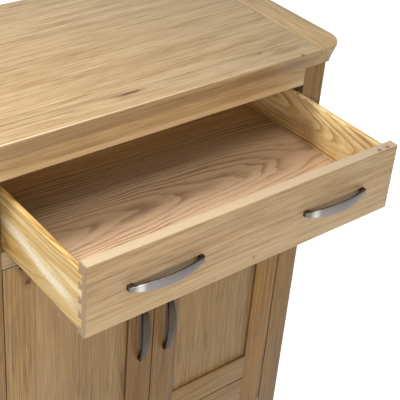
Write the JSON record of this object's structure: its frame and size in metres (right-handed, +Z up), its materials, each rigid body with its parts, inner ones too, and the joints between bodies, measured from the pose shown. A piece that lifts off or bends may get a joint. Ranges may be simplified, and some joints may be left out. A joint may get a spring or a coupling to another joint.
{
  "type": "sideboard",
  "caption": "Upright oak sideboard with a wide bow-handled drawer over a pair of framed cupboard doors, on short square legs.",
  "frame": {"origin": "centre of the floor area under the piece as it stands at rest, with the drawer pulled out and the doors shut", "axes": "+X to the right as seen from the front, +Y to the back, +Z up"},
  "size_m": [0.76, 0.66, 0.93],
  "materials": {
    "oak": "oiled",
    "oak_top": "oiled",
    "ash": "clear lacquer",
    "panel_board": "veneered board",
    "pewter": "brushed, dark grey",
    "steel": "zinc plated",
    "catch_plastic": "moulded",
    "glide_plastic": "moulded"
  },
  "bodies": {
    "carcass": {"back_bottom_rail": "oak", "back_left_post": "oak", "back_panel": "panel_board", "back_right_post": "oak", "back_top_rail": "oak", "bottom_board": "oak", "drawer_stops": "ash", "foot_glides": "glide_plastic", "front_bottom_rail": "oak", "front_left_post": "oak", "front_middle_rail": "oak", "front_right_post": "oak", "front_top_rail": "oak", "hinge_frame_plates": "steel", "left_drawer_kicker": "ash", "left_drawer_runner": "ash", "left_side_bottom_rail": "oak", "left_side_panel": "oak", "left_side_top_rail": "oak", "magnet_catches": "catch_plastic", "right_drawer_kicker": "ash", "right_drawer_runner": "ash", "right_side_bottom_rail": "oak", "right_side_panel": "oak", "right_side_top_rail": "oak", "shelf": "oak", "shelf_pegs": "steel", "top_front_strip": "oak_top", "top_left_end": "oak_top", "top_panel": "oak_top", "top_right_end": "oak_top"},
    "drawer": {"drawer_back": "ash", "drawer_bottom": "panel_board", "drawer_catch_blocks": "ash", "drawer_front": "oak", "drawer_handle_screws": "steel", "drawer_left_handle": "pewter", "drawer_left_side": "ash", "drawer_right_handle": "pewter", "drawer_right_side": "ash"},
    "left_door": {"left_door_bottom_rail": "oak", "left_door_catch_plate": "steel", "left_door_handle": "pewter", "left_door_handle_screws": "steel", "left_door_hinge_plates": "steel", "left_door_inner_stile": "oak", "left_door_middle_rail": "oak", "left_door_outer_stile": "oak", "left_door_panel": "oak", "left_door_top_rail": "oak"},
    "right_door": {"right_door_bottom_rail": "oak", "right_door_catch_plate": "steel", "right_door_handle": "pewter", "right_door_handle_screws": "steel", "right_door_hinge_plates": "steel", "right_door_inner_stile": "oak", "right_door_middle_rail": "oak", "right_door_outer_stile": "oak", "right_door_panel": "oak", "right_door_top_rail": "oak"}
  },
  "joints": [
    {"name": "drawer_slide", "type": "slide", "parent": "carcass", "child": "drawer", "axis": [0, -1, 0], "range_m": [-0.234, 0.084]},
    {"name": "left_door_hinge", "type": "hinge", "parent": "carcass", "child": "left_door", "pos_m": [-0.293, -0.071, 0.38], "axis": [0, 0, -1], "range_deg": [0, 105]},
    {"name": "right_door_hinge", "type": "hinge", "parent": "carcass", "child": "right_door", "pos_m": [0.293, -0.071, 0.38], "axis": [0, 0, 1], "range_deg": [0, 105]}
  ]
}
